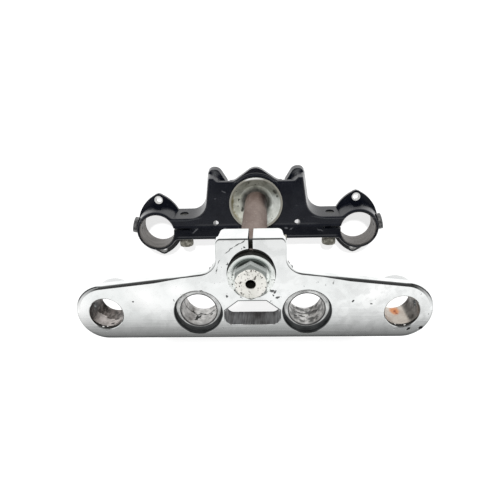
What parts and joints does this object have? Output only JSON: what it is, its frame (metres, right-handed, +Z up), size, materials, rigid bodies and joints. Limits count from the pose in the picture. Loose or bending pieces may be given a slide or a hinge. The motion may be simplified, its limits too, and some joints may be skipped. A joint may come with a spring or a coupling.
{
  "type": "motorcycle triple clamp",
  "caption": "Motorcycle triple clamp: polished upper clamp and black lower clamp on a steel steering stem, with fork holes, riser holes and pinch bolts.",
  "frame": {"origin": "on the steering axis, on the seat of the lower bearing", "axes": "+Z up the steering stem to the upper clamp, +X across the forks, +Y to the rear of the motorcycle"},
  "size_m": [0.3038, 0.1152, 0.243],
  "materials": {
    "chrome": "worn polish with fine scratches",
    "black_paint": "semi-gloss black with scuffs",
    "rusty_steel": "thin brown rust",
    "zinc": "mottled zinc plate",
    "pale_zinc": "pale pitted zinc plate",
    "dull_zinc": "dull olive zinc",
    "dark_steel": "dark oxidised steel"
  },
  "bodies": {
    "root": {"upper_clamp": "chrome", "lower_clamp": "black_paint", "steering_stem": "rusty_steel", "dust_shield": "zinc", "stem_washer": "pale_zinc", "stem_bolt": "pale_zinc", "upper_pinch_bolt": "dull_zinc", "left_pinch_bolt": "dull_zinc", "right_pinch_bolt": "dull_zinc", "left_pinch_washer": "dull_zinc", "right_pinch_washer": "dull_zinc", "left_side_screw": "dark_steel", "right_side_screw": "dark_steel"}
  },
  "joints": []
}
